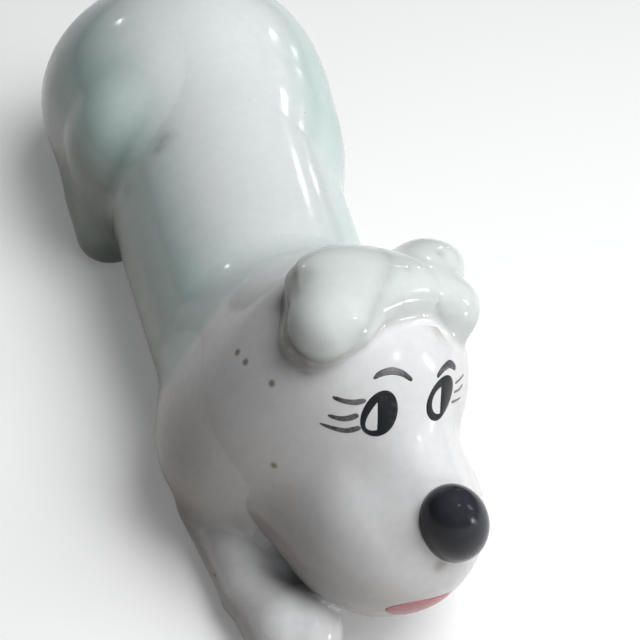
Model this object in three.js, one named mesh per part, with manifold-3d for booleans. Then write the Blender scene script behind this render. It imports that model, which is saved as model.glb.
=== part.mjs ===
// A glazed porcelain dog that lies with its head turned, cast in pieces and joined with slip.
// Millimetres, +Z up. The dog faces -Y, its right side is -X, and its underside is flat at Z = 0.
import * as THREE from 'three';
import { mergeVertices } from 'three/addons/utils/BufferGeometryUtils.js';
import Module from 'manifold-3d';

const wasm = await Module();
wasm.setup();

// Castings: wall, joint between two pieces, and depth ground off whatever stands on the table
const WALL = 4;
const JOINT = 0.3;
const FLAT = 2;

// Torso: a chest ball and a loin ball with the body between them, widened by an egg at the rump.
// It lies a little to the left of the middle of the haunches.
const TORSO_LENGTH = 92;
const TORSO_SIDE = 1.6;
const CHEST_RADIUS = 27.1;
const LOIN_RADIUS = 31.5;
const RUMP_WIDTH = 66;
const RUMP_LENGTH = 64;
const RUMP_HEIGHT = 64;
const RUMP_FILLET = 12;
const VENT_DIAMETER = 16;
const PASSAGE_DIAMETER = 18;

// Hind legs: a haunch from hip to knee, proud of the rump at its side, and a foot that peeps out below
const HAUNCH_PROUD = 3.9;
const HIP_RADIUS = 26;
const HIP_BACK = 7;
const KNEE_RADIUS = 22.5;
const KNEE_FORWARD = 21;
const KNEE_HEIGHT = { right: 32, left: 24 };
const HEEL_FORWARD = 14;
const HIND_FOOT_RADIUS = 9;
const HIND_FOOT_LENGTH = 12;
const HIND_FOOT_TUCK = 3;
const LEG_CREASE = 2;

// Front legs: a shoulder on each side of the chest, a forearm and a paw
const SHOULDER_WIDTH = 38;
const SHOULDER_LENGTH = 38;
const SHOULDER_HEIGHT = 39;
const SHOULDER_PROUD = 5.9;
const SHOULDER_SIDE = 1;
const SHOULDER_FORWARD = 25;
const ELBOW_RADIUS = 10.5;
const PAW_RADIUS = 10;
const RIGHT_REACH = 36;
const LEFT_REACH = 23;
const PAW_INWARD = 8;
const PAW_LENGTH = 5;
const ELBOW_OUTWARD = 5;
const ELBOW_FORWARD = 3;

// Tail: a short stub that curls round the rump to the left
const TAIL_ROOT_RADIUS = 7.5;
const TAIL_TIP_RADIUS = 5.5;
const TAIL_ANGLE = 40;
const TAIL_PROUD = 1;

// Head: place before the chest and over the shoulders, and turn in degrees
const HEAD_SIDE = 6.5;
const HEAD_FORWARD = 30;
const HEAD_OVER_SHOULDER = 6;
const HEAD_YAW = 16;
const HEAD_PITCH = 10;
const HEAD_TILT = 9;

// Head casting: skull, muzzle, jowls, bridge of the nose and neck run into each other
const SKULL_WIDTH = 53;
const SKULL_LENGTH = 52;
const SKULL_HEIGHT = 54;
const MUZZLE_WIDTH = 44;
const MUZZLE_LENGTH = 44;
const MUZZLE_HEIGHT = 42;
const MUZZLE_FORWARD = 21.5;
const MUZZLE_DROP = 21.5;
const JOWL_WIDTH = 53;
const JOWL_LENGTH = 42;
const JOWL_HEIGHT = 32;
const JOWL_FORWARD = 15;
const JOWL_DROP = 26;
const BRIDGE_TOP_RADIUS = 9.5;
const BRIDGE_TIP_RADIUS = 8.5;
const BRIDGE_FORWARD = 11.5;
const BRIDGE_RISE = 11.5;
const BRIDGE_FILLET = 6;
const NECK_WIDTH = 50;
const NECK_LENGTH = 40;
const NECK_HEIGHT = 48;
const NECK_SIDE = -7;
const NECK_BACK = 8;
const NECK_DROP = 14;
const FACE_FILLET = 8;
const NECK_FILLET = 14;

// Ears: an upper fold and a hanging lobe on each side, with a forelock and its rolled edge between them.
// Each is seated on the skull where a line from the skull's centre comes out: across, back and up.
const FOLD_LINE = { right: [-11.2, 0.5, 25.6], left: [14.6, 0.5, 24.9] };
const LOBE_LINE = { right: [-16.8, -6.7, 20.2], left: [15, -9.4, 19.9] };
const FORELOCK_LINE = [0, -3, 26];
const ROLL_LINES = [[-15.5, -10, 20], [-11.6, -10.8, 22.3], [-7.2, -9.4, 24.8], [-1.6, -9, 25.8],
  [4.5, -8.6, 25.6], [11, -9, 23.4]];
const FOLD_WIDTH = 18.5;
const FOLD_DEPTH = 14;
const FOLD_HEIGHT = 12;
const FOLD_PROUD = 1.5;
const LOBE_WIDTH = 13.5;
const LOBE_DEPTH = 12.5;
const LOBE_HEIGHT = 15.2;
const LOBE_PROUD = 0.2;
const EAR_FILLET = 3;
const FORELOCK_WIDTH = 26;
const FORELOCK_DEPTH = 15;
const FORELOCK_HEIGHT = 10;
const ROLL_RADIUS = 4.3;
const ROLL_PROUD = 0.5;
const ROLL_FILLET = 6;

// Nose: an upright egg on the front of the muzzle
const NOSE_WIDTH = 15.4;
const NOSE_DEPTH = 13;
const NOSE_HEIGHT = 18.4;
const NOSE_SIDE = 0.9;
const NOSE_RISE = 11.9;
const NOSE_SUNK = 1.1;

// Painted marks: thickness of the enamel, and sizes of the marks
const ENAMEL = 0.5;
const EYE_WIDTH = 6.2;
const EYE_HEIGHT = 9.8;
const EYE_WHITE = 2;
const BROW_STROKE = 1.3;
const LASH_STROKE = { right: 1.1, left: 0.7 };
const MOUTH_STROKE = 5;
const STROKE_TIP = 0.4;

// Marks across and up from the skull's centre, as seen from the front: start, bend and end of each stroke
const EYES = {
  right: { centre: [-9.5, 8], lean: -29, white: [[-10, 9.8], [-11.3, 7.5], [-10.9, 4.9]] },
  left: { centre: [5.1, 9.7], lean: -63, white: [[5.3, 11.2], [2.6, 9.8], [4, 7.3]] },
};
const BROWS = {
  right: [[-10.2, 14.5], [-6.6, 17.4], [-2.1, 14.1]],
  left: [[4.4, 13.7], [8, 16], [11.3, 13.1]],
};
const LASHES = {
  right: [[[-17.5, 9.8], [-15.1, 9.2], [-12.7, 10.2]], [[-18.3, 6.1], [-16, 5.4], [-13.6, 7.4]],
    [[-19.5, 4], [-16.5, 2.9], [-13.6, 4.7]]],
  left: [[[14.8, 10.5], [12.6, 10.4], [10.6, 10.6]], [[14, 9], [12.4, 8.3], [10, 9.1]],
    [[13.1, 6.6], [10.9, 6.9], [8.9, 7.5]]],
};
const MOUTH = [[-9.4, 0.8], [-0.5, 2.6], [8.4, 0.8]];

// Fineness of the skins: points around and rings along
const BODY_MESH = [36, 24];
const HOLLOW_MESH = [18, 12];
const LIMB_MESH = [26, 18];
const SMALL_MESH = [16, 10];
const MARCH = 1.5;
const HALVINGS = 24;
const STROKE_STEPS = 7;
const EYE_SIDES = 20;
const HOLE_SIDES = 24;

const GLAZE = { roughness: 0.12, metalness: 0 };
const CELADON = new THREE.MeshStandardMaterial({ color: 0xb3c4bb, ...GLAZE });
const WHITE = new THREE.MeshStandardMaterial({ color: 0xdcdcdb, ...GLAZE });
const EAR_TINT = new THREE.MeshStandardMaterial({ color: 0xced6d0, ...GLAZE });
const BLACK = new THREE.MeshStandardMaterial({ color: 0x1c1d23, ...GLAZE });
const INK = new THREE.MeshStandardMaterial({ color: 0x33343a, roughness: 0.35, metalness: 0 });
const ROSE = new THREE.MeshStandardMaterial({ color: 0xb9767c, roughness: 0.3, metalness: 0 });

const vector = (x, y, z) => new THREE.Vector3(x, y, z);
const between = (a, b, share) => a.clone().lerp(b, share);
const SIDES = { right: -1, left: 1 };

// Field of an egg: below zero inside, about the distance to its skin outside
function egg(centre, width, length, height) {
  const half = vector(width, length, height).divideScalar(2);
  return (point) => {
    const scaled = point.clone().sub(centre).divide(half);
    const reach = scaled.length();
    const slope = scaled.divide(half).length();
    return slope > 0 ? reach * (reach - 1) / slope : -Math.min(half.x, half.y, half.z);
  };
}

// Field of a limb: a ball that slides from one centre to another and changes its radius on the way
function limb(start, end, startRadius, endRadius) {
  const axis = end.clone().sub(start);
  return (point) => {
    const along = point.clone().sub(start).dot(axis) / axis.lengthSq();
    const share = THREE.MathUtils.clamp(along, 0, 1);
    const radius = THREE.MathUtils.lerp(startRadius, endRadius, share);
    return point.distanceTo(between(start, end, share)) - radius;
  };
}

// Two fields run into each other over the width of a fillet
function blend(first, second, fillet) {
  return (point) => {
    const a = first(point);
    const b = second(point);
    const overlap = Math.max(fillet - Math.abs(a - b), 0) / fillet;
    return Math.min(a, b) - overlap * overlap * fillet / 4;
  };
}

// Point where a ray from inside a field comes up to a level of it
function seat(field, origin, ray, level) {
  const heading = ray.clone().normalize();
  const at = (distance) => origin.clone().addScaledVector(heading, distance);
  let near = 0;
  let far = MARCH;
  while (field(at(far)) < level) {
    near = far;
    far += MARCH;
  }
  for (let i = 0; i < HALVINGS; i += 1) {
    const middle = (near + far) / 2;
    if (field(at(middle)) < level) near = middle;
    else far = middle;
  }
  return at(far);
}

// Closed skin of a form: rings of rays leave its spine, fan out at both ends and stop at a level of its field
function skin(form, level, [around, rings]) {
  const axis = form.tail.clone().sub(form.tip);
  const share = axis.length() / (axis.length() + Math.PI * form.girth);
  const cap = (1 - share) / 2;
  const turn = new THREE.Quaternion().setFromUnitVectors(vector(0, 1, 0), axis.normalize());
  const geometry = new THREE.SphereGeometry(1, around, rings);
  const position = geometry.getAttribute('position');
  for (let i = 0; i < position.count; i += 1) {
    const ray = vector().fromBufferAttribute(position, i);
    const place = Math.acos(THREE.MathUtils.clamp(ray.y, -1, 1)) / Math.PI;
    const fan = Math.min(place / cap, 1) + Math.max((place - 1 + cap) / cap, 0);
    const onSpine = THREE.MathUtils.clamp((place - cap) / share, 0, 1);
    const out = Math.sin(fan * Math.PI / 2) / (Math.hypot(ray.x, ray.z) || 1);
    const heading = vector(ray.x * out, Math.cos(fan * Math.PI / 2), ray.z * out).applyQuaternion(turn);
    const point = seat(form.field, between(form.tail, form.tip, onSpine), heading, level);
    position.setXYZ(i, ...point);
  }
  return geometry;
}

// Solid of a closed geometry, for joining and cutting
function solid(geometry) {
  const bare = geometry.clone();
  bare.deleteAttribute('normal');
  bare.deleteAttribute('uv');
  const merged = mergeVertices(bare);
  const vertProperties = new Float32Array(merged.getAttribute('position').array);
  const triVerts = new Uint32Array(merged.getIndex().array);
  return new wasm.Manifold(new wasm.Mesh({ numProp: 3, vertProperties, triVerts }));
}

// Named mesh of a solid, without the crumbs that a cut leaves beside the main body
function piece(name, body, material) {
  const main = body.decompose().sort((a, b) => b.volume() - a.volume())[0];
  const { vertProperties, triVerts } = main.getMesh();
  const geometry = new THREE.BufferGeometry();
  geometry.setAttribute('position', new THREE.BufferAttribute(vertProperties, 3));
  geometry.setIndex(new THREE.BufferAttribute(triVerts, 1));
  geometry.computeVertexNormals();
  const mesh = new THREE.Mesh(geometry, material);
  mesh.name = name;
  return mesh;
}

// Everything under a height, as a slab wide enough for the whole figure
function below(height) {
  const span = 4 * TORSO_LENGTH;
  return solid(new THREE.BoxGeometry(span, span, span).translate(0, 0, height - span / 2));
}

// Skin of a form as a solid that stands on the table
const standing = (form, mesh) => solid(skin(form, 0, mesh)).subtract(below(0));

const figure = new THREE.Group();

// Torso
const chest = vector(TORSO_SIDE, 0, CHEST_RADIUS - FLAT);
const loin = vector(TORSO_SIDE, TORSO_LENGTH, LOIN_RADIUS - FLAT);
const torso = {
  field: blend(
    limb(loin, chest, LOIN_RADIUS, CHEST_RADIUS),
    egg(loin, RUMP_WIDTH, RUMP_LENGTH, RUMP_HEIGHT),
    RUMP_FILLET,
  ),
  tip: chest,
  tail: loin,
  girth: LOIN_RADIUS,
};
const torsoCut = skin(torso, JOINT, BODY_MESH);
{
  const hollow = solid(skin(torso, -WALL, HOLLOW_MESH)).subtract(below(WALL));
  const vent = new THREE.CylinderGeometry(VENT_DIAMETER / 2, VENT_DIAMETER / 2, 4 * WALL, HOLE_SIDES);
  vent.rotateX(Math.PI / 2).translate(TORSO_SIDE, TORSO_LENGTH / 2, 0);
  const bore = PASSAGE_DIAMETER / 2;
  const passage = new THREE.CylinderGeometry(bore, bore, 2 * CHEST_RADIUS, HOLE_SIDES);
  passage.translate(chest.x, -CHEST_RADIUS, chest.z);
  const shell = standing(torso, BODY_MESH).subtract(hollow).subtract(solid(vent)).subtract(solid(passage));
  figure.add(piece('body_shell', shell, CELADON));
}

// Head casting, in a group of its own that carries everything on the face
const head = new THREE.Group();
head.position.set(chest.x + HEAD_SIDE, chest.y - HEAD_FORWARD, SHOULDER_HEIGHT + HEAD_OVER_SHOULDER);
head.rotation.set(...[-HEAD_PITCH, HEAD_TILT, HEAD_YAW].map(THREE.MathUtils.degToRad), 'ZXY');
figure.add(head);
figure.updateMatrixWorld(true);
const skull = vector(0, 0, 0);
const muzzle = vector(0, -MUZZLE_FORWARD, -MUZZLE_DROP);
const neck = vector(NECK_SIDE, NECK_BACK, -NECK_DROP);
const jowls = vector(0, -JOWL_FORWARD, -JOWL_DROP);
const bridgeTop = vector(0, BRIDGE_TOP_RADIUS - SKULL_LENGTH / 2, 0);
const bridgeTip = muzzle.clone().add(vector(0, -BRIDGE_FORWARD, BRIDGE_RISE));
const skullAndMuzzle = blend(
  egg(skull, SKULL_WIDTH, SKULL_LENGTH, SKULL_HEIGHT),
  egg(muzzle, MUZZLE_WIDTH, MUZZLE_LENGTH, MUZZLE_HEIGHT),
  FACE_FILLET,
);
const face = blend(
  blend(skullAndMuzzle, egg(jowls, JOWL_WIDTH, JOWL_LENGTH, JOWL_HEIGHT), FACE_FILLET),
  limb(bridgeTop, bridgeTip, BRIDGE_TOP_RADIUS, BRIDGE_TIP_RADIUS),
  BRIDGE_FILLET,
);
const headForm = {
  field: blend(face, egg(neck, NECK_WIDTH, NECK_LENGTH, NECK_HEIGHT), NECK_FILLET),
  tip: between(skull, muzzle, 0.8),
  tail: between(skull, neck, 0.5),
  girth: SKULL_WIDTH / 2,
};
const headCut = skin(headForm, JOINT, BODY_MESH);
const headSeat = solid(headCut);
{
  const chestSeat = solid(torsoCut.clone().applyMatrix4(head.matrixWorld.clone().invert()));
  const hollow = solid(skin(headForm, -WALL, HOLLOW_MESH));
  const shell = solid(skin(headForm, 0, BODY_MESH)).subtract(hollow).subtract(chestSeat);
  head.add(piece('head_shell', shell, WHITE));
}

// Forelock and ears, seated on the skull
const onSkull = (line, proud) => seat(headForm.field, skull, vector(...line), proud);
const crown = onSkull(FORELOCK_LINE, 0);
const rollPoints = ROLL_LINES.map((line) => onSkull(line, ROLL_PROUD));
const rollParts = rollPoints.slice(1).map((end, i) => limb(rollPoints[i], end, ROLL_RADIUS, ROLL_RADIUS));
const roll = (point) => Math.min(...rollParts.map((part) => part(point)));
const forelockForm = {
  field: blend(egg(crown, FORELOCK_WIDTH, FORELOCK_DEPTH, FORELOCK_HEIGHT), roll, ROLL_FILLET),
  tip: between(rollPoints.at(0), crown, 0.3),
  tail: between(rollPoints.at(-1), crown, 0.3),
  girth: FORELOCK_DEPTH / 2,
};
head.add(piece('forelock', solid(skin(forelockForm, 0, SMALL_MESH)).subtract(headSeat), EAR_TINT));
const forelockSeat = solid(skin(forelockForm, JOINT, SMALL_MESH));
for (const side of Object.keys(SIDES)) {
  const fold = onSkull(FOLD_LINE[side], FOLD_PROUD);
  const lobe = onSkull(LOBE_LINE[side], LOBE_PROUD);
  const ear = {
    field: blend(
      egg(fold, FOLD_WIDTH, FOLD_DEPTH, FOLD_HEIGHT),
      egg(lobe, LOBE_WIDTH, LOBE_DEPTH, LOBE_HEIGHT),
      EAR_FILLET,
    ),
    tip: lobe,
    tail: fold,
    girth: LOBE_WIDTH / 2,
  };
  const body = solid(skin(ear, 0, SMALL_MESH)).subtract(headSeat).subtract(forelockSeat);
  head.add(piece(`ear_${side}`, body, EAR_TINT));
}

// Nose, seated on the front of the muzzle
{
  const behind = muzzle.clone().add(vector(NOSE_SIDE, 0, NOSE_RISE));
  const centre = seat(headForm.field, behind, vector(0, -1, 0), -NOSE_SUNK);
  const rise = vector(0, 0, (NOSE_HEIGHT - NOSE_WIDTH) / 2);
  const nose = {
    field: egg(centre, NOSE_WIDTH, NOSE_DEPTH, NOSE_HEIGHT),
    tip: centre.clone().sub(rise),
    tail: centre.clone().add(rise),
    girth: NOSE_WIDTH / 2,
  };
  head.add(piece('nose', solid(skin(nose, 0, SMALL_MESH)).subtract(headSeat), BLACK));
}

// Painted marks: rays along one direction lay a flat outline on the head, between two levels of its field
const front = { origin: skull, across: vector(1, 0, 0), up: vector(0, 0, 1), out: vector(0, -1, 0) };
const chinAngle = Math.atan2(MUZZLE_DROP / 2, MUZZLE_FORWARD);
const chin = {
  origin: muzzle,
  across: vector(1, 0, 0),
  up: vector(0, -Math.sin(chinAngle), Math.cos(chinAngle)),
  out: vector(0, -Math.cos(chinAngle), -Math.sin(chinAngle)),
};
function lay(geometry, plane, bottom, top) {
  const position = geometry.getAttribute('position');
  for (let i = 0; i < position.count; i += 1) {
    const start = plane.origin.clone();
    start.addScaledVector(plane.across, position.getX(i)).addScaledVector(plane.up, position.getY(i));
    const point = seat(headForm.field, start, plane.out, position.getZ(i) > 0 ? top : bottom);
    position.setXYZ(i, ...point);
  }
  return solid(geometry);
}

// Brush stroke along a bent line, thin at both ends
function stroke(points, width, plane, bottom, top) {
  const line = new THREE.QuadraticBezierCurve(...points.map(([x, y]) => new THREE.Vector2(x, y)));
  const geometry = new THREE.BoxGeometry(1, 1, 1, STROKE_STEPS, 1, 1);
  const position = geometry.getAttribute('position');
  for (let i = 0; i < position.count; i += 1) {
    const share = position.getX(i) + 0.5;
    const tangent = line.getTangent(share);
    const swell = STROKE_TIP + (1 - STROKE_TIP) * Math.sin(Math.PI * share);
    const breadth = width * swell * position.getY(i);
    const point = line.getPoint(share).add(new THREE.Vector2(-tangent.y, tangent.x).multiplyScalar(breadth));
    position.setXY(i, point.x, point.y);
  }
  return lay(geometry, plane, bottom, top);
}
const ENAMEL_TOP = JOINT + ENAMEL;
for (const side of Object.keys(SIDES)) {
  const { centre, lean, white } = EYES[side];
  const oval = new THREE.CylinderGeometry(0.5, 0.5, 1, EYE_SIDES);
  oval.rotateX(Math.PI / 2).scale(EYE_WIDTH, EYE_HEIGHT, 1).rotateZ(THREE.MathUtils.degToRad(lean));
  const eye = lay(oval.translate(...centre, 0), front, JOINT, ENAMEL_TOP);
  const gleam = stroke(white, EYE_WHITE, front, 0, 2 * ENAMEL_TOP);
  head.add(piece(`eye_${side}`, eye.subtract(gleam), INK));
  head.add(piece(`brow_${side}`, stroke(BROWS[side], BROW_STROKE, front, JOINT, ENAMEL_TOP), INK));
  LASHES[side].forEach((lash, i) => {
    const hair = stroke(lash, LASH_STROKE[side], front, JOINT, ENAMEL_TOP);
    head.add(piece(`lash_${side}_${i + 1}`, hair, INK));
  });
}
head.add(piece('mouth', stroke(MOUTH, MOUTH_STROKE, chin, JOINT, ENAMEL_TOP), ROSE));

// Legs, cut to the torso and the head that they are joined to
const bodySeats = solid(torsoCut).add(solid(headCut.clone().applyMatrix4(head.matrixWorld)));
const pawHeight = PAW_RADIUS - FLAT;
const reach = { right: RIGHT_REACH, left: LEFT_REACH };
let otherLeg = null;
for (const [side, sign] of Object.entries(SIDES)) {
  const outward = CHEST_RADIUS + SHOULDER_PROUD - SHOULDER_WIDTH / 2;
  const middle = chest.x + SHOULDER_SIDE;
  const shoulder = vector(middle + sign * outward, -SHOULDER_FORWARD, SHOULDER_HEIGHT / 2);
  const elbow = shoulder.clone().setZ(ELBOW_RADIUS - FLAT);
  elbow.add(vector(sign * ELBOW_OUTWARD, -ELBOW_FORWARD, 0));
  const wrist = vector(elbow.x - sign * PAW_INWARD, elbow.y - reach[side], pawHeight);
  const toes = wrist.clone().add(vector(-sign * PAW_LENGTH, 0, 0));
  const foreleg = blend(
    limb(elbow, wrist, ELBOW_RADIUS, PAW_RADIUS),
    limb(wrist, toes, PAW_RADIUS, PAW_RADIUS),
    LEG_CREASE,
  );
  const leg = {
    field: blend(egg(shoulder, SHOULDER_WIDTH, SHOULDER_LENGTH, SHOULDER_HEIGHT), foreleg, LEG_CREASE),
    tip: between(wrist, toes, 0.5),
    tail: between(shoulder, elbow, 0.4),
    girth: PAW_RADIUS,
  };
  let body = standing(leg, LIMB_MESH).subtract(bodySeats);
  if (otherLeg) body = body.subtract(otherLeg);
  figure.add(piece(`front_leg_${side}`, body, WHITE));
  otherLeg = solid(skin(leg, JOINT, LIMB_MESH));
}
const haunchSide = RUMP_WIDTH / 2 + HAUNCH_PROUD;
const thighSeats = [];
for (const [side, sign] of Object.entries(SIDES)) {
  const hip = vector(sign * (haunchSide - HIP_RADIUS), loin.y + HIP_BACK, HIP_RADIUS - FLAT);
  const knee = vector(sign * (haunchSide - KNEE_RADIUS), loin.y - KNEE_FORWARD, KNEE_HEIGHT[side]);
  const footSide = haunchSide - HIND_FOOT_TUCK - HIND_FOOT_RADIUS;
  const heel = vector(sign * footSide, loin.y - HEEL_FORWARD, HIND_FOOT_RADIUS - FLAT);
  const toes = heel.clone().setY(heel.y - HIND_FOOT_LENGTH);
  const leg = {
    field: blend(
      limb(hip, knee, HIP_RADIUS, KNEE_RADIUS),
      limb(heel, toes, HIND_FOOT_RADIUS, HIND_FOOT_RADIUS),
      LEG_CREASE,
    ),
    tip: between(knee, heel, 0.5),
    tail: hip,
    girth: KNEE_RADIUS,
  };
  figure.add(piece(`hind_leg_${side}`, standing(leg, LIMB_MESH).subtract(solid(torsoCut)), CELADON));
  thighSeats.push(solid(skin(leg, JOINT, LIMB_MESH)));
}

// Tail, lying on the table against the rump
{
  const angle = THREE.MathUtils.degToRad(TAIL_ANGLE);
  const rootStart = loin.clone().setZ(TAIL_ROOT_RADIUS - FLAT);
  const root = seat(torso.field, rootStart, vector(0, 1, 0), -TAIL_PROUD);
  const tipStart = loin.clone().setZ(TAIL_TIP_RADIUS - FLAT);
  const tip = seat(torso.field, tipStart, vector(Math.sin(angle), Math.cos(angle), 0), TAIL_PROUD);
  const tail = {
    field: limb(root, tip, TAIL_ROOT_RADIUS, TAIL_TIP_RADIUS),
    tip,
    tail: root,
    girth: TAIL_TIP_RADIUS,
  };
  const body = thighSeats.reduce((rest, seatOf) => rest.subtract(seatOf), standing(tail, SMALL_MESH));
  figure.add(piece('tail', body.subtract(solid(torsoCut)), CELADON));
}

// Origin under the middle of the figure
const box = new THREE.Box3().setFromObject(figure, true);
figure.position.set(-(box.min.x + box.max.x) / 2, -(box.min.y + box.max.y) / 2, -box.min.z);
figure.updateMatrixWorld(true);

export default figure;
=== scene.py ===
import bpy
import numpy as np
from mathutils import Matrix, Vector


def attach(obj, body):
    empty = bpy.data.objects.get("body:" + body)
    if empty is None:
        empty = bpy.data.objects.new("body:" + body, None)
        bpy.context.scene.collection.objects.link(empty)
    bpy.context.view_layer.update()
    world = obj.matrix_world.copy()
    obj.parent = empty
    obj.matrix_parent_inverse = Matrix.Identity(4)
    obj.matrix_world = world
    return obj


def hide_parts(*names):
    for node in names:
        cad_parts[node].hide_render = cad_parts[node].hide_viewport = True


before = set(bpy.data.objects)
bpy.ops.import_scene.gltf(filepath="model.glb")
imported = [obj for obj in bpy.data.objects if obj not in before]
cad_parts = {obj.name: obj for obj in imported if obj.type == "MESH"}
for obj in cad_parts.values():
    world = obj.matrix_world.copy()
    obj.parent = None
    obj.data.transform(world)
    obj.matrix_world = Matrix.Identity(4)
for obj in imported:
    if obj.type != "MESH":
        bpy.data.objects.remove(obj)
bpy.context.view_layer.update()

# Torso: the long slip-cast body, hollow and pale green under its glaze, with a flat ground foot.
# The chest is a ball, the loin a larger one, and the rump swells behind it. All the rest is stuck to it
# with slip, and each later casting carries the slip of its own joint.
MM = 0.001
FLAT_EDGE = 2.4
SLIP_HAIR = 0.06
SLIP_MARGIN = 2.0
HALVINGS = 18
STEEP = 0.9
CHEST = np.array([1.61, -24.6, 25.1])
CHEST_RADIUS = 28.0
LOIN = np.array([1.61, 67.4, 29.5])
LOIN_RADIUS = 31.5
RUMP_SIZE = np.array([66.0, 64.0, 64.0])
RUMP_FILLET = 12.0
VENT = np.array([1.61, 21.4])
VENT_RADIUS = 8.0
VENT_DEPTH = 7.0
TORSO_GRID = (192, 160)
PORCELAIN_WHITE = (0.73, 0.735, 0.745, 1.0)
CELADON = (0.54, 0.685, 0.655, 1.0)
POOLED_CELADON = (0.28, 0.40, 0.37, 1.0)
# The green share is partly the spray and partly painted light and shade: thinner on the lit back, fuller
# low on the flanks, and more at the neck as painted shade.
SPRAY_START, SPRAY_SPREAD = np.radians([10.0, 58.0])
SPRAY_LEAST = 0.2
NECK_SHADE_GREEN = 0.35
NECK_SHADE_FADE = 3.5
GREEN_GRIME = (0.12, 0.13, 0.09, 1.0)
BACK_SMUDGES = [((-16.6, 24.0, 50.6), 2.6, 0.4), ((-18.5, 22.5, 48.6), 1.6, 0.4),
                ((-25.5, 20.6, 38.2), 2.0, 0.3)]


def length(rows):
    """Length of each vector in the last axis."""
    return np.sqrt((rows * rows).sum(-1))


def soft(share):
    """Soft step: 3 t squared less 2 t cubed, of a share held between 0 and 1."""
    held = np.clip(share, 0, 1)
    return held * held * (3 - 2 * held)


def egg(points, centre, size):
    """Egg: distance from the centre in half sizes, less one, turned back into millimetres by its slope."""
    half = size / 2
    scaled = (points - centre) / half
    reach = length(scaled)
    return reach * (reach - 1) / np.maximum(length(scaled / half), 1e-9)


def limb(points, start, end, start_radius, end_radius):
    """Limb: distance to the nearest point of a straight line, less a radius that changes along it."""
    axis = end - start
    share = np.clip((points - start) @ axis / (axis @ axis), 0, 1)
    nearest = start + share[..., None] * axis
    return length(points - nearest) - (start_radius + share * (end_radius - start_radius))


def overlap(first, second, fillet):
    """How far two forms share a fillet: 1 where they are equally near, 0 a fillet's width from that."""
    return np.maximum(fillet - np.abs(first - second), 0) / fillet


def run_together(first, second, fillet):
    """The nearer of two forms, filled up at the crease by a quarter of the fillet times overlap squared."""
    return np.minimum(first, second) - overlap(first, second, fillet) ** 2 * fillet / 4


def joined(form, base, fillet):
    """A form run onto its base by slip; past the slip it lies a hair under the base, and then dives."""
    apart = form - base
    hair = SLIP_HAIR * soft(2 * apart / fillet - 1)
    return run_together(form, base, fillet) + hair + np.maximum(apart - fillet - SLIP_MARGIN, 0)


def stood(form, points):
    """A form cut flat by the table, with its edge rounded off."""
    down = -points[..., 2]
    return np.maximum(form, down) + overlap(form, down, FLAT_EDGE) ** 2 * FLAT_EDGE / 4


def torso_form(points):
    """The limb from loin to chest, run together with the egg of the rump."""
    barrel = limb(points, LOIN, CHEST, LOIN_RADIUS, CHEST_RADIUS)
    return run_together(barrel, egg(points, LOIN, RUMP_SIZE), RUMP_FILLET)


def vented_torso(points):
    """The torso on its foot, with the round vent of the casting sunk into its belly."""
    wall = stood(torso_form(points), points)
    bore = np.maximum(length(points[..., :2] - VENT) - VENT_RADIUS, points[..., 2] - VENT_DEPTH)
    return np.maximum(wall, -bore)


def seat(form, starts, headings, reach, step=2.0):
    """Distance from each start, along its heading, to the first skin of a form: a march, then halvings."""
    far = np.full(starts.shape[:-1], reach)
    inside = np.ones(starts.shape[:-1], bool)
    for distance in np.arange(step, reach, step):
        out = inside & (form(starts + distance * headings) >= 0)
        far[out] = distance
        inside &= ~out
    near = far - step
    for _ in range(HALVINGS):
        middle = (near + far) / 2
        deep = form(starts + middle[..., None] * headings) < 0
        near = np.where(deep, middle, near)
        far = np.where(deep, far, middle)
    return far


def skin(form, tip, tail, girth, around, rings, reach):
    """Closed skin as a grid of turn and place: rays fan out from a spine and its ends to the form."""
    spine = tip - tail
    share = length(spine) / (length(spine) + np.pi * girth)
    cap = (1 - share) / 2
    place = np.linspace(0, 1, rings + 1)[:, None]
    turn = np.linspace(0, 2 * np.pi, around, endpoint=False)[None, :]
    fan = (np.minimum(place / cap, 1) + np.maximum((place - 1 + cap) / cap, 0)) * np.pi / 2
    along = np.clip((place - cap) / share, 0, 1)
    axis = spine / length(spine)
    side = np.cross(axis, [0.0, 0.0, 1.0] if abs(axis[2]) < STEEP else [1.0, 0.0, 0.0])
    side /= length(side)
    upright = np.cross(side, axis)
    radial = np.cos(turn)[..., None] * side + np.sin(turn)[..., None] * upright
    headings = np.sin(fan)[..., None] * radial - np.cos(fan)[..., None] * axis
    starts = np.broadcast_to(tail + along[..., None] * spine, headings.shape)
    return starts + seat(form, starts, headings, reach)[..., None] * headings


def closed_tube(rows):
    """Points and faces of rings, the first and last drawn to a pole: quads between, fans at the ends."""
    rings, around = rows.shape[:2]
    points = np.concatenate([rows[1:-1].reshape(-1, 3), rows[:1].mean(1), rows[-1:].mean(1)])
    here = np.arange((rings - 2) * around).reshape(rings - 2, around)
    beside = np.roll(here, -1, axis=1)
    quads = np.stack([here[:-1], here[1:], beside[1:], beside[:-1]], -1).reshape(-1, 4)
    first = np.stack([np.full(around, here.size), here[0], beside[0]], -1)
    last = np.stack([np.full(around, here.size + 1), beside[-1], here[-1]], -1)
    return points, quads, np.concatenate([first, last])


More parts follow.
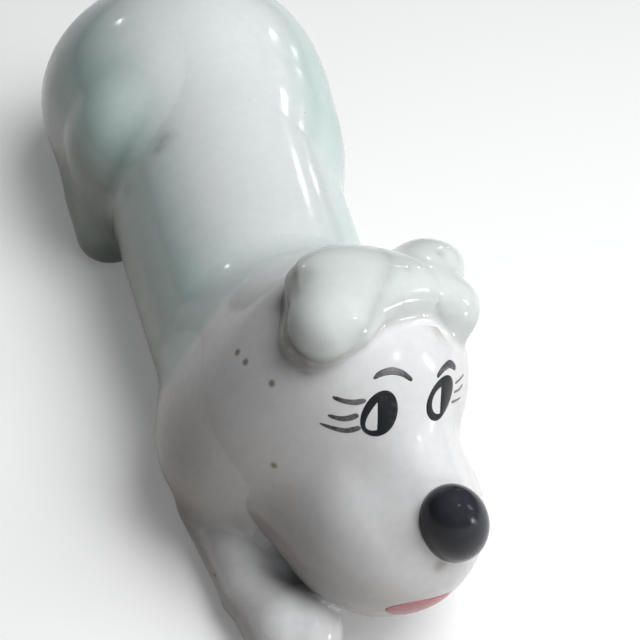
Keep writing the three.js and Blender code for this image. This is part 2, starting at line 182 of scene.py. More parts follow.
def make_piece(name, points, quads, fans, marks, material):
    """Mesh object of a piece, turned outwards by the sign of its volume, with smooth faces and its marks.

    It rides on the one body, stands for the CAD node of its name, and its material is its slot."""
    corners = np.concatenate([quads[:, [0, 1, 2]], quads[:, [0, 2, 3]], fans])
    a, b, c = (points[corners[:, i]] for i in range(3))
    if (np.cross(a, b) * c).sum() < 0:
        quads, fans = quads[:, ::-1], fans[:, ::-1]
    mesh = bpy.data.meshes.new(name)
    mesh.from_pydata((points * MM).tolist(), [], quads.tolist() + fans.tolist())
    mesh.polygons.foreach_set("use_smooth", np.ones(len(mesh.polygons), bool))
    for mark, values in marks.items():
        attribute = mesh.attributes.new(mark, "FLOAT", "POINT")
        attribute.data.foreach_set("value", np.asarray(values, np.float32))
    mesh.materials.append(material)
    mesh.update()
    piece = bpy.data.objects.new(name, mesh)
    bpy.context.scene.collection.objects.link(piece)
    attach(piece, "root")
    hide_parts(name)


def cast(name, form, spine, girth, grid, marks, material, reach=70.0):
    """One casting: its skin, and its marks worked out at its points."""
    points, quads, fans = closed_tube(skin(form, spine[0], spine[1], girth, *grid, reach))
    make_piece(name, points, quads, fans, {mark: rule(points) for mark, rule in marks.items()}, material)


def node(tree, kind, **values):
    """Shader node of a kind, with its plain properties set."""
    made = tree.nodes.new(kind)
    for key, value in values.items():
        setattr(made, key, value)
    return made


def feed(tree, socket, value):
    """Link a socket into an input, or set a plain value on it."""
    if isinstance(value, bpy.types.NodeSocket):
        tree.links.new(value, socket)
    else:
        socket.default_value = value


def mixed(tree, share, first, second, blend="MIX"):
    """Colour mix of two sockets or colours by a share, and the socket that it comes out of."""
    mix = node(tree, "ShaderNodeMix", data_type="RGBA", blend_type=blend)
    for place, value in ((0, share), (6, first), (7, second)):
        feed(tree, mix.inputs[place], value)
    return mix.outputs[2]


def reckoned(tree, operation, *values):
    """Sum, product or other reckoning of sockets or numbers, and the socket that it comes out of."""
    math = node(tree, "ShaderNodeMath", operation=operation)
    for socket, value in zip(math.inputs, values):
        feed(tree, socket, value)
    return math.outputs[0]


def ranged(tree, value, low, high, start=0.0, end=1.0):
    """A value carried smoothly from one range to another, and the socket that it comes out of."""
    made = node(tree, "ShaderNodeMapRange", interpolation_type="SMOOTHSTEP")
    tree.links.new(value, made.inputs["Value"])
    for key, number in (("From Min", low), ("From Max", high), ("To Min", start), ("To Max", end)):
        made.inputs[key].default_value = number
    return made.outputs["Result"]


def noise(tree, where, scale, detail):
    """Noise of a scale in cells for each metre, and the socket that it comes out of."""
    made = node(tree, "ShaderNodeTexNoise")
    made.inputs["Scale"].default_value = scale
    made.inputs["Detail"].default_value = detail
    tree.links.new(where, made.inputs["Vector"])
    return made.outputs["Fac"]


CLOUDS = (45.0, 3.0)
CLOUD_RANGE = (0.42, 0.75)
CLOUD_POOL = 0.22
CREASE_POOL = 0.75
PATCHES = (550.0, 4.0)
PATCH_RANGE = (0.25, 0.65)
SPECK_CELLS = 95.0
SPECK_RANGE = (0.05, 0.035)
SPECKS_KEPT = (0.72, 0.74)
SPECK_DEPTH = 0.75
SPECK_BROWN = (0.13, 0.10, 0.05, 1.0)
MOTTLE = (420.0, 2.0)
MOTTLE_RANGE = (0.3, 0.7)
MOTTLE_SHADE = (0.985, 1.015)
MOTTLE_ROUGHNESS = (0.09, 0.15)
MOTTLE_RIPPLE = 0.12
DIRT_ROUGHNESS = 0.25
SWELL = (70.0, 1.0)


def glaze_group():
    """Fired glaze: two colours mixed by a share, clouds, pools in creases, grime, kiln specks, ripples."""
    tree = bpy.data.node_groups.new("fired_glaze", "ShaderNodeTree")
    for name, kind in (("Clear", "Color"), ("Tinted", "Color"), ("Pooled", "Color"), ("Grime", "Color"),
                       ("Tint", "Float"), ("Crease", "Float"), ("Dirt", "Float"), ("Matt", "Float")):
        tree.interface.new_socket(name, in_out="INPUT", socket_type=f"NodeSocket{kind}")
    for name, kind in (("Colour", "Color"), ("Roughness", "Float"), ("Ripple", "Float")):
        tree.interface.new_socket(name, in_out="OUTPUT", socket_type=f"NodeSocket{kind}")
    given = node(tree, "NodeGroupInput").outputs
    result = node(tree, "NodeGroupOutput").inputs
    where = node(tree, "ShaderNodeTexCoord").outputs["Object"]
    clouds = noise(tree, where, *CLOUDS)
    mottle = noise(tree, where, *MOTTLE)
    colour = mixed(tree, given["Tint"], given["Clear"], given["Tinted"])
    thick = reckoned(tree, "MULTIPLY", ranged(tree, clouds, *CLOUD_RANGE), CLOUD_POOL)
    pooled = reckoned(tree, "MULTIPLY_ADD", given["Crease"], CREASE_POOL, thick)
    pool = reckoned(tree, "MULTIPLY", pooled, given["Tint"])
    colour = mixed(tree, pool, colour, given["Pooled"])
    patchy = ranged(tree, noise(tree, where, *PATCHES), *PATCH_RANGE)
    uneven = reckoned(tree, "MULTIPLY", reckoned(tree, "ADD", patchy, 1.0), 0.5)
    dirt = reckoned(tree, "MULTIPLY", given["Dirt"], uneven)
    colour = mixed(tree, dirt, colour, given["Grime"])
    cells = node(tree, "ShaderNodeTexVoronoi")
    cells.inputs["Scale"].default_value = SPECK_CELLS
    tree.links.new(where, cells.inputs["Vector"])
    dots = ranged(tree, cells.outputs["Distance"], *SPECK_RANGE)
    kept = ranged(tree, cells.outputs["Color"], *SPECKS_KEPT)
    specks = reckoned(tree, "MULTIPLY", reckoned(tree, "MULTIPLY", dots, kept), SPECK_DEPTH)
    colour = mixed(tree, specks, colour, SPECK_BROWN)
    shade = ranged(tree, mottle, *MOTTLE_RANGE, *MOTTLE_SHADE)
    colour = mixed(tree, 1.0, colour, shade, "MULTIPLY")
    tree.links.new(colour, result["Colour"])
    clean = ranged(tree, mottle, *MOTTLE_RANGE, *MOTTLE_ROUGHNESS)
    rough = reckoned(tree, "MULTIPLY_ADD", dirt, DIRT_ROUGHNESS, clean)
    tree.links.new(reckoned(tree, "ADD", rough, given["Matt"]), result["Roughness"])
    ripple = reckoned(tree, "MULTIPLY_ADD", mottle, MOTTLE_RIPPLE, noise(tree, where, *SWELL))
    tree.links.new(reckoned(tree, "SUBTRACT", ripple, specks), result["Ripple"])
    return tree


fired_glaze = glaze_group()
GLAZE_IOR = 1.5
RIPPLE_STRENGTH = 0.35
RIPPLE_HEIGHT = 0.15
PINHOLE_RADIUS = 1.1
PINHOLE_CORE = 0.3
PINHOLE_DEPTH = 0.75
PINHOLE_BROWN = (0.17, 0.115, 0.05, 1.0)


def glazed(name, clear, tinted, pooled, grime, matt=0.0, shine=0.5, pinholes=()):
    """Glaze of one kind of piece: the fired glaze in its colours, and brown pinholes at given places."""
    material = bpy.data.materials.new(name)
    material.use_nodes = True
    tree = material.node_tree
    bsdf = tree.nodes["Principled BSDF"]
    glaze = node(tree, "ShaderNodeGroup", node_tree=fired_glaze)
    for key, colour in (("Clear", clear), ("Tinted", tinted), ("Pooled", pooled), ("Grime", grime)):
        glaze.inputs[key].default_value = colour
    glaze.inputs["Matt"].default_value = matt
    for key in ("Tint", "Crease", "Dirt"):
        mark = node(tree, "ShaderNodeAttribute", attribute_name=key.lower())
        tree.links.new(mark.outputs["Fac"], glaze.inputs[key])
    bump = node(tree, "ShaderNodeBump")
    bump.inputs["Strength"].default_value = RIPPLE_STRENGTH
    bump.inputs["Distance"].default_value = RIPPLE_HEIGHT * MM
    tree.links.new(glaze.outputs["Ripple"], bump.inputs["Height"])
    colour = glaze.outputs["Colour"]
    where = node(tree, "ShaderNodeTexCoord").outputs["Object"]
    edge = PINHOLE_RADIUS * MM
    for place in pinholes:
        gap = node(tree, "ShaderNodeVectorMath", operation="DISTANCE")
        tree.links.new(where, gap.inputs[0])
        gap.inputs[1].default_value = place * MM
        hole = ranged(tree, gap.outputs["Value"], edge, PINHOLE_CORE * edge, 0.0, PINHOLE_DEPTH)
        colour = mixed(tree, hole, colour, PINHOLE_BROWN)
    tree.links.new(colour, bsdf.inputs["Base Color"])
    tree.links.new(glaze.outputs["Roughness"], bsdf.inputs["Roughness"])
    tree.links.new(bump.outputs["Normal"], bsdf.inputs["Normal"])
    bsdf.inputs["IOR"].default_value = GLAZE_IOR
    bsdf.inputs["Specular IOR Level"].default_value = shine
    return material


celadon_glaze = glazed("celadon_glaze", PORCELAIN_WHITE, CELADON, POOLED_CELADON, GREEN_GRIME)


def everywhere(level):
    """Mark that is the same at every point."""
    return lambda points: np.full(len(points), level)


def sprayed_and_shaded(points):
    """Share of the green: thin along the back and full low on both flanks, partly the spray and partly
    painted light on the back and painted shade low on the flanks, and more at the neck as painted shade.
    """
    share = np.clip((points[..., 1] - CHEST[1]) / (LOIN[1] - CHEST[1]), 0, 1)
    rise = points[..., 2] - CHEST[2] - share * (LOIN[2] - CHEST[2])
    turn = np.arctan2(np.abs(points[..., 0] - LOIN[0]), rise)
    flank = soft((turn - SPRAY_START) / SPRAY_SPREAD)
    neck = NECK_SHADE_GREEN * soft(1 - NECK_SHADE_FADE * share)
    return np.maximum(SPRAY_LEAST, 1 - (1 - flank) * (1 - neck))


def smudged(points, smudges):
    """Sum of soft smudges, each a place, radius and strength: a bell of the distance over the radius."""
    bells = [strength * np.exp(-length(points - place) ** 2 / radius ** 2)
             for place, radius, strength in smudges]
    return np.sum(bells, axis=0)


cast("body_shell", vented_torso, (CHEST, LOIN), LOIN_RADIUS, TORSO_GRID,
     {"tint": sprayed_and_shaded, "crease": everywhere(0.0), "dirt": lambda points: smudged(points, BACK_SMUDGES)},
     celadon_glaze)

# Hind legs: a cast haunch on each side of the rump, with the tip of the hind foot under the knee.
# They are stuck on with slip, which is wiped smooth over the back and left as a crease before the knee.
HAUNCH_SIDE = 36.9
HIP_RADIUS = 26.0
HIP_BACK = 7.0
KNEE_RADIUS = 22.5
KNEE_FORWARD = 21.0
HEEL_FORWARD = 14.0
HIND_FOOT_RADIUS = 9.0
HIND_FOOT_LENGTH = 12.0
HIND_FOOT_TUCK = 3.0
GROUND_OFF = 2.0
SIDES = {"right": -1.0, "left": 1.0}
KNEE_HEIGHT = {"right": 32.0, "left": 24.0}
HAUNCH_SLIP = {"right": (4.5, 15.0), "left": (16.0, 16.0)}
HAUNCH_SLIP_START = 32.0
HAUNCH_SLIP_RUN = 38.0
HAUNCH_CREASE = 4.0
SHARPEST_SLIP = 1.0
FOOT_FILLET = 12.0
HAUNCH_GRID = (160, 128)
HAUNCH_POOLS = [((-34.5, 72.0, 43.0), 10.0, 0.3), ((34.5, 72.0, 43.0), 10.0, 0.25)]


def haunch_places(side):
    """Middles of hip, knee, heel and toes."""
    sign = SIDES[side]
    hip = np.array([sign * (HAUNCH_SIDE - HIP_RADIUS), LOIN[1] + HIP_BACK, HIP_RADIUS - GROUND_OFF])
    knee = np.array([sign * (HAUNCH_SIDE - KNEE_RADIUS), LOIN[1] - KNEE_FORWARD, KNEE_HEIGHT[side]])
    foot_side = sign * (HAUNCH_SIDE - HIND_FOOT_TUCK - HIND_FOOT_RADIUS)
    heel = np.array([foot_side, LOIN[1] - HEEL_FORWARD, HIND_FOOT_RADIUS - GROUND_OFF])
    return hip, knee, heel, heel - [0.0, HIND_FOOT_LENGTH, 0.0]


def haunch_form(points, side):
    """Limb from hip to knee, run together with the limb of the foot."""
    hip, knee, heel, toes = haunch_places(side)
    thigh = limb(points, hip, knee, HIP_RADIUS, KNEE_RADIUS)
    return run_together(thigh, limb(points, heel, toes, HIND_FOOT_RADIUS, HIND_FOOT_RADIUS), FOOT_FILLET)


def haunch_slip(points, side):
    """Width of the slip: narrow before the knee, wide over the hip."""
    before, over = HAUNCH_SLIP[side]
    return before + (over - before) * soft((points[..., 1] - LOIN[1] + HAUNCH_SLIP_START) / HAUNCH_SLIP_RUN)


def right_rear(points):
    """Torso and right haunch, with the slip between them."""
    return run_together(torso_form(points), haunch_form(points, "right"), haunch_slip(points, "right"))


def hind_leg(side, base):
    """The haunch with its slip, on the table, and the crease that the slip leaves."""
    hip, knee, heel = haunch_places(side)[:3]
    shin = (knee + heel) / 2

    def form(points):
        """Haunch run onto its base."""
        return stood(joined(haunch_form(points, side), base(points), haunch_slip(points, side)), points)

    def crease(points):
        """Green pooled in the crease, by overlap over the width of the slip, and high on the haunch."""
        slip = haunch_slip(points, side)
        shared = overlap(haunch_form(points, side), torso_form(points), slip)
        return shared ** 2 * HAUNCH_CREASE / (slip + SHARPEST_SLIP) + smudged(points, HAUNCH_POOLS)

    cast(f"hind_leg_{side}", form, (shin, hip), KNEE_RADIUS, HAUNCH_GRID,
         {"tint": sprayed_and_shaded, "crease": crease, "dirt": everywhere(0.0)}, celadon_glaze)


hind_leg("right", torso_form)
hind_leg("left", right_rear)

# Tail: a short stub, cast solid, that lies on the table and curls round the rump to the left.
# It is stuck to the rump with a thin line of slip, and the green glaze pools there.
TAIL_ROOT_RADIUS = 7.5
TAIL_TIP_RADIUS = 5.5
TAIL_ROOT_LEVEL = -1.0
TAIL_TIP_LEVEL = 1.0
TAIL_TURN = np.radians(40.0)
TAIL_SLIP = 3.0
TAIL_GRID = (64, 64)
REAR_REACH = 80.0


def rear_form(points):
    """Torso and both haunches, with their slip."""
    return run_together(right_rear(points), haunch_form(points, "left"), haunch_slip(points, "left"))


def on_rear(start, heading, level):
    """Point where a line from inside the torso comes up to a level of the rear."""
    start, heading = np.array(start), np.array(heading) / length(np.array(heading))
    far = seat(lambda points: rear_form(points) - level, start[None], heading[None], REAR_REACH)
    return start + far[0] * heading


tail_root = on_rear([LOIN[0], LOIN[1], TAIL_ROOT_RADIUS - GROUND_OFF], [0.0, 1.0, 0.0], TAIL_ROOT_LEVEL)
tail_tip = on_rear([LOIN[0], LOIN[1], TAIL_TIP_RADIUS - GROUND_OFF],
                   [np.sin(TAIL_TURN), np.cos(TAIL_TURN), 0.0], TAIL_TIP_LEVEL)


def tail_form(points):
    """Limb from root to tip."""
    return limb(points, tail_root, tail_tip, TAIL_ROOT_RADIUS, TAIL_TIP_RADIUS)


def tail_pool(points):
    """Green pooled round the tail, by overlap of tail and rear."""
    return overlap(tail_form(points), rear_form(points), TAIL_SLIP)


cast("tail", lambda points: stood(joined(tail_form(points), rear_form(points), TAIL_SLIP), points),
     (tail_tip, tail_root), TAIL_TIP_RADIUS, TAIL_GRID,
     {"tint": everywhere(1.0), "crease": tail_pool, "dirt": everywhere(0.0)}, celadon_glaze)

# Head: a hollow casting of skull, muzzle, jowls and neck, luted to the chest and turned to the left.
# Its glaze is white, and it runs softly into the green of the torso behind the neck.
HEAD_PLACE = np.array([8.11, -54.6, 45.0])
HEAD_YAW, HEAD_PITCH, HEAD_TILT = np.radians([16.0, 10.0, 9.0])
SKULL = np.zeros(3)
SKULL_SIZE = np.array([53.0, 52.0, 54.0])
MUZZLE = np.array([0.0, -21.5, -21.5])
MUZZLE_SIZE = np.array([44.0, 44.0, 42.0])
JOWLS = np.array([4.0, -16.0, -26.0])
JOWL_SIZE = np.array([44.0, 40.0, 32.0])
BRIDGE_TOP = np.array([0.0, -16.5, 0.0])
BRIDGE_TIP = np.array([0.0, -33.0, -10.0])
BRIDGE_RADII = (9.5, 8.5)
BRIDGE_FILLET = 6.0
NECK = np.array([-7.0, 8.0, -14.0])
NECK_SIZE = np.array([50.0, 40.0, 48.0])
FACE_FILLET = 7.0
NECK_FILLET = 14.0
NECK_SLIP = 14.0
# Darker green in the neck's seam: partly pooled glaze, partly painted shade of the crease.
NECK_POOL_SHADE = 0.3
HEAD_SPINE = (0.8 * MUZZLE, 0.5 * NECK)
HEAD_GIRTH = 26.5
HEAD_GRID = (256, 208)
HEAD_REACH = 60.0
SEAM_INSET = 2.0
SEAM_WIDTH = 6.0
HANDLING = 0.08
GRIME = (0.16, 0.13, 0.09, 1.0)
PINHOLE_LINES = [(-26.7, 4.9, 8.4), (-26.7, 1.4, 8.2), (-25.2, -6.6, 7.8), (-24.6, -12.1, -9.2)]
# The first smudge, under the right ear's lower edge, is painted shade along its shadow line; the others are
# grime.
HEAD_SMUDGES_AND_SHADE = [((-20.6, -10.8, 14.0), 2.0, 0.8), ((-23.0, -5.5, 17.0), 2.5, 0.4),
                ((8.4, -14.5, 20.8), 3.0, 0.4), ((-1.5, -43.2, -17.7), 1.5, 0.6),
                ((-20.5, 3.0, 22.5), 2.5, 0.5)]


def turn_about(axis, angle):
    """Rotation matrix about X, Y or Z."""
    c, s = np.cos(angle), np.sin(angle)
    first, second = [(1, 2), (2, 0), (0, 1)][axis]
    matrix = np.eye(3)
    matrix[first, first] = matrix[second, second] = c
    matrix[second, first], matrix[first, second] = s, -s
    return matrix


HEAD_TURN = turn_about(2, HEAD_YAW) @ turn_about(0, -HEAD_PITCH) @ turn_about(1, HEAD_TILT)


def to_head(points):
    """Points in the head's own frame: across, back and up from the middle of the skull."""
    return (points - HEAD_PLACE) @ HEAD_TURN


def from_head(points):
    """Points of the head's own frame, in the frame of the figure."""
    return np.asarray(points) @ HEAD_TURN.T + HEAD_PLACE


def face_form(local):
    """Eggs of skull, muzzle and jowls and the limb of the bridge, run together in the head's frame."""
    skull = run_together(egg(local, SKULL, SKULL_SIZE), egg(local, MUZZLE, MUZZLE_SIZE), FACE_FILLET)
    cheeks = run_together(skull, egg(local, JOWLS, JOWL_SIZE), FACE_FILLET)
    return run_together(cheeks, limb(local, BRIDGE_TOP, BRIDGE_TIP, *BRIDGE_RADII), BRIDGE_FILLET)


def neck_form(local):
    """Egg of the neck in the head's frame."""
    return egg(local, NECK, NECK_SIZE)


def head_form(points):
    """Face and neck, run together."""
    local = to_head(points)
    return run_together(face_form(local), neck_form(local), NECK_FILLET)


def past_seam(points, whites):
    """Soft step from 0 on a white casting to 1 on the torso."""
    return soft((whites - torso_form(points) + SEAM_INSET + SEAM_WIDTH / 2) / SEAM_WIDTH)


def green(points, whites):
    """Share of the green glaze: none on a white casting, and the torso's share past the seam."""
    return sprayed_and_shaded(points) * past_seam(points, whites)


def neck_pool_and_shade(points):
    """Darker green in the seam of the neck, by overlap of head and torso: glaze pooled there, and painted
    shade of the crease.
    """
    return NECK_POOL_SHADE * overlap(head_form(points), torso_form(points), NECK_SLIP) ** 2


def handled(points, whites):
    """Grime of handling: faint on a white casting, and none where it gives way to the torso."""
    return HANDLING * (1 - past_seam(points, whites))


def head_dirt(points):
    """Grime of handling, and smudges in the creases of the head, the one under the right ear painted shade.
    """
    return smudged(to_head(points), HEAD_SMUDGES_AND_SHADE) + handled(points, head_form(points))


def on_head(starts, headings, level):
    """Points, in the head's frame, where lines from starts inside it come up to a level of its form."""
    far = seat(lambda local: head_form(from_head(local)) - level, starts, headings, HEAD_REACH)
    return starts + far[..., None] * headings


def skull_point(line, level):
    """Point, in the head's frame, where a line from the middle of the skull comes up to a level."""
    heading = np.array(line) / length(np.array(line))
    return on_head(SKULL[None], heading[None], level)[0]


white_glaze = glazed("white_glaze", PORCELAIN_WHITE, CELADON, POOLED_CELADON, GRIME,
                     pinholes=[from_head(skull_point(line, 0.0)) for line in PINHOLE_LINES])
cast("head_shell", lambda points: stood(joined(head_form(points), torso_form(points), NECK_SLIP), points),
     [from_head(end) for end in HEAD_SPINE], HEAD_GIRTH, HEAD_GRID,
     {"tint": lambda points: green(points, head_form(points)), "crease": neck_pool_and_shade, "dirt": head_dirt},
     white_glaze)

# Front legs: solid castings with a shoulder, a forearm and a paw, luted to chest, neck and jowls.
# The slip is wiped wide at the neck, narrower under the jowls and thin at the paws. Brown laid along it is
# painted shade of the crease.
SHOULDER_SIZE = np.array([35.0, 35.0, 39.0])
SHOULDER_MIDDLE = 2.61
SHOULDER_OUT = 14.5
SHOULDER_FORWARD = 23.5
ELBOW_OUT = 8.6
ELBOW_FORWARD = 7.9
WRIST_IN = 5.2
PAW_STEP = np.array([4.8, -11.5, 1.5])
TOES_STEP = np.array([3.5, -1.0, 0.0])
ELBOW_FILLET = 4.0
PAW_FILLET = 2.0
LEG_HEIGHT = 7.0
LEG_RADIUS = 5.4
WRIST_RADIUS = 6.2
PAW_RADIUS = 9.0
WEB_RADIUS = 6.2
WEB_STEP = np.array([6.0, 0.0, -2.2])
WEB_END = np.array([3.0, 8.0, -4.5])
WEB_FILLET = 4.0
LEG_REACH = {"right": 24.0, "left": 10.0}
LEG_SPINE = (0.85, 0.15, 0.75)
LEG_GRID = (288, 220)
LEG_SLIP = (12.0, 8.0, 0.5)
SLIP_FRONT = -74.0
SLIP_FRONT_RUN = 14.0
SLIP_JOWL_RUN = 12.0
# Brown along the leg's slip is painted shade of the crease between leg, chest and jowls.
LEG_CREASE_SHADE = 0.05
LEG_SMUDGES = [((-11.0, -87.0, 11.0), 2.5, 0.2), ((-7.0, -90.5, 11.0), 2.5, 0.3),
               ((-2.0, -93.0, 10.5), 2.5, 0.3)]


def leg_places(side):
    """Middle of the shoulder, elbow, wrist, paw and toes, and a mirror for steps towards the middle."""
    sign = SIDES[side]
    inwards = np.array([-sign, 1.0, 1.0])
    shoulder = np.array([SHOULDER_MIDDLE + sign * SHOULDER_OUT, CHEST[1] - SHOULDER_FORWARD,
                         SHOULDER_SIZE[2] / 2])
    elbow = np.array([shoulder[0] + sign * ELBOW_OUT, shoulder[1] - ELBOW_FORWARD, LEG_HEIGHT])
    wrist = elbow - [sign * WRIST_IN, LEG_REACH[side], 0.0]
    paw = wrist + inwards * PAW_STEP
    return shoulder, elbow, wrist, paw, paw + inwards * TOES_STEP, inwards


def leg_form(points, side):
    """Egg of the shoulder, run together with limbs of forearm and paw and a low web on their inner side."""
    shoulder, elbow, wrist, paw, toes, inwards = leg_places(side)
    foot = np.minimum(limb(points, wrist, paw, WRIST_RADIUS, PAW_RADIUS),
                      limb(points, paw, toes, PAW_RADIUS, PAW_RADIUS))
    arm = run_together(limb(points, elbow, wrist, LEG_RADIUS, WRIST_RADIUS), foot, PAW_FILLET)
    web = limb(points, elbow + inwards * WEB_STEP, paw + inwards * WEB_END, WEB_RADIUS, WEB_RADIUS)
    webbed = run_together(arm, web, WEB_FILLET)
    return run_together(egg(points, shoulder, SHOULDER_SIZE), webbed, ELBOW_FILLET)


def front_form(points):
    """Torso and head, which the front legs are joined to."""
    return run_together(torso_form(points), head_form(points), NECK_SLIP)


def leg_slip(points):
    """Width of the slip: wide at the neck, narrower under the jowls, and thin at the paws."""
    local = to_head(points)
    wide, narrow, thin = LEG_SLIP
    front = narrow + (thin - narrow) * soft((SLIP_FRONT - points[..., 1]) / SLIP_FRONT_RUN)
    past_neck = neck_form(local) - face_form(local) + SLIP_JOWL_RUN / 2
    return wide + (front - wide) * soft(past_neck / SLIP_JOWL_RUN)


def front_leg(side):
    """The leg with its slip, on the table, its green, and the painted shade along its slip."""
    shoulder, elbow, wrist, paw = leg_places(side)[:4]
    of_wrist, of_paw, of_elbow = LEG_SPINE
    spine = of_wrist * wrist + of_paw * paw, shoulder + of_elbow * (elbow - shoulder)

    def form(points):
        """Leg run onto torso and head."""
        return stood(joined(leg_form(points, side), front_form(points), leg_slip(points)), points)

    def whites(points):
        """The white castings, leg and head."""
        return np.minimum(leg_form(points, side), head_form(points))

    def dirt(points):
        """Painted shade along the crease, by overlap cubed, most where the slip is thin, with grime smudges
        beside the paw and handling.
        """
        slip = leg_slip(points)
        sharp = overlap(leg_form(points, side), front_form(points), slip) ** 3 * LEG_SLIP[2] / slip
        return LEG_CREASE_SHADE * sharp + smudged(points, LEG_SMUDGES) + handled(points, whites(points))

    cast(f"front_leg_{side}", form, spine, LEG_RADIUS, LEG_GRID,
         {"tint": lambda points: green(points, whites(points)), "crease": neck_pool_and_shade, "dirt": dirt},
         white_glaze)


for side in SIDES:
    front_leg(side)

# Forelock: a flat egg of clay across the crown with a rolled edge before it, pressed onto the skull.
# Its glaze is white with a trace of green, like that of the ears, and grime lies in the crease round it.
FORELOCK_SIZE = np.array([26.0, 15.0, 10.0])
CROWN_LINE = np.array([0.0, -3.0, 26.0])
ROLL_LINES = np.array([[-15.5, -10.0, 20.0], [-11.6, -10.8, 22.3], [-7.2, -9.4, 24.8], [-1.6, -9.0, 25.8],
                       [4.5, -8.6, 25.6], [11.0, -9.0, 23.4]])
ROLL_RADIUS = 4.3
ROLL_PROUD = 0.5
ROLL_FILLET = 6.0
LOCK_SPINE = (0.7, 0.3, 0.96)
LOCK_GIRTH = 7.5
LOCK_GRID = (240, 200)
EAR_SLIP = 3.0
EAR_EDGE = 6.0
EAR_CREASE = 0.7
EAR_GRIME = 0.15
EAR_TINT = (0.63, 0.675, 0.66, 1.0)
EAR_POOL = (0.50, 0.55, 0.53, 1.0)
EAR_SMUDGES = [((-19.6, 1.0, 28.7), 1.6, 0.5), ((-18.2, -2.0, 29.4), 1.8, 0.4),
               ((-19.9, -3.9, 26.7), 1.2, 0.4), ((-21.5, -9.4, 15.4), 2.2, 0.6),
               ((1.6, -7.8, 31.9), 1.2, 0.35), ((14.7, -2.9, 30.3), 1.4, 0.35)]

crown = skull_point(CROWN_LINE, 0.0)
roll = [skull_point(line, ROLL_PROUD) for line in ROLL_LINES]


def forelock_form(points):
    """Egg across the crown, run together with limbs through the points of the roll."""
    local = to_head(points)
    parts = [limb(local, start, end, ROLL_RADIUS, ROLL_RADIUS) for start, end in zip(roll, roll[1:])]
    return run_together(egg(local, crown, FORELOCK_SIZE), np.min(parts, axis=0), ROLL_FILLET)


def pressed(form):
    """Marks of a piece pressed onto the head: tint away from the joint, and a crease with grime in it."""

    def tint(points):
        """Soft step from 0 on the head to 1 on the piece or the forelock."""
        pressed_on = np.minimum(form(points), forelock_form(points))
        return soft((head_form(points) - pressed_on) / EAR_EDGE + 0.5)

    def shared(points):
        """How far piece and head share the slip."""
        return overlap(form(points), head_form(points), EAR_SLIP)

    def dirt(points):
        """Grime: sharp in the crease, by overlap cubed, and in smudges."""
        return EAR_GRIME * shared(points) ** 3 + smudged(to_head(points), EAR_SMUDGES)

    return {"tint": tint, "crease": lambda points: EAR_CREASE * shared(points) ** 2, "dirt": dirt}


ear_glaze = glazed("ear_glaze", PORCELAIN_WHITE, EAR_TINT, EAR_POOL, GRIME)
of_roll, of_crown, depth = LOCK_SPINE
lock_spine = [from_head(depth * (of_roll * end + of_crown * crown)) for end in (roll[0], roll[-1])]
cast("forelock", lambda points: joined(forelock_form(points), head_form(points), EAR_SLIP), lock_spine,
     LOCK_GIRTH, LOCK_GRID, pressed(forelock_form), ear_glaze)

# Ears: an upper fold and a hanging lobe on each side, rolled in clay and pressed on over the forelock.
# The slip is wiped wider on the forelock than on the head.
FOLD_SIZE = np.array([18.5, 14.0, 12.0])
LOBE_SIZE = np.array([13.5, 12.5, 15.2])
EAR_FILLET = 4.5
FOLD_DEPTH = 0.88
LOBE_DEPTH = 0.9
EAR_GIRTH = 6.5
EAR_GRID = (176, 160)
LOCK_EDGE = 4.0
LOCK_SLIPS = {"right": 10.0, "left": 4.0}
LOBE_PROUD = 0.2
FOLD_PROUD = {"right": 0.6, "left": 2.6}
FOLD_LINES = {"right": [-11.2, 0.5, 25.6], "left": [14.6, 0.5, 24.9]}
LOBE_LINES = {"right": [-16.8, -6.7, 20.2], "left": [15.0, -9.4, 19.9]}


def ear(side):
    """Fold and lobe seated on the skull, run onto the head and the forelock."""
    fold = skull_point(FOLD_LINES[side], FOLD_PROUD[side])
    lobe = skull_point(LOBE_LINES[side], LOBE_PROUD)

    def form(points):
        """Eggs of fold and lobe, run together."""
        local = to_head(points)
        return run_together(egg(local, fold, FOLD_SIZE), egg(local, lobe, LOBE_SIZE), EAR_FILLET)

    def base(points):
        """Head and forelock, which the ears are pressed onto."""
        return run_together(head_form(points), forelock_form(points), EAR_SLIP)

    def slip(points):
        """Width of the slip: wider on the forelock than on the head."""
        lock = soft((head_form(points) - forelock_form(points)) / LOCK_EDGE + 0.5)
        return EAR_SLIP + (LOCK_SLIPS[side] - EAR_SLIP) * lock

    cast(f"ear_{side}", lambda points: joined(form(points), base(points), slip(points)),
         (from_head(LOBE_DEPTH * lobe), from_head(FOLD_DEPTH * fold)), EAR_GIRTH, EAR_GRID,
         pressed(form), ear_glaze)


for side in SIDES:
    ear(side)

# Nose: a solid egg of clay, dipped in black glaze and stuck to the front of the muzzle before the firing.
# It leans to the left at its top, and handling has dulled its gloss.
NOSE_PLACE = np.array([0.9, -41.2, -9.0])
NOSE_SIZE = np.array([15.4, 13.0, 19.6])
NOSE_TURN = turn_about(1, np.radians(-8.0))
NOSE_LEAN = 0.22
NOSE_GIRTH = 7.0
NOSE_HALF_SPINE = 3.0
NOSE_GRID = (96, 80)
NOSE_BLACK = (0.02, 0.021, 0.028, 1.0)
NOSE_POOL = (0.05, 0.05, 0.055, 1.0)
NOSE_MATT = 0.02
NOSE_SHINE = 0.2
SCUFF = (0.075, 0.08, 0.095, 1.0)
SCUFFED = 0.12


def nose_form(points):
    """Egg on the muzzle, turned and then sheared, so that it leans to the left at its top."""
    local = (to_head(points) - NOSE_PLACE) @ NOSE_TURN
    local[..., 0] += NOSE_LEAN * local[..., 2]
    return egg(local, np.zeros(3), NOSE_SIZE)


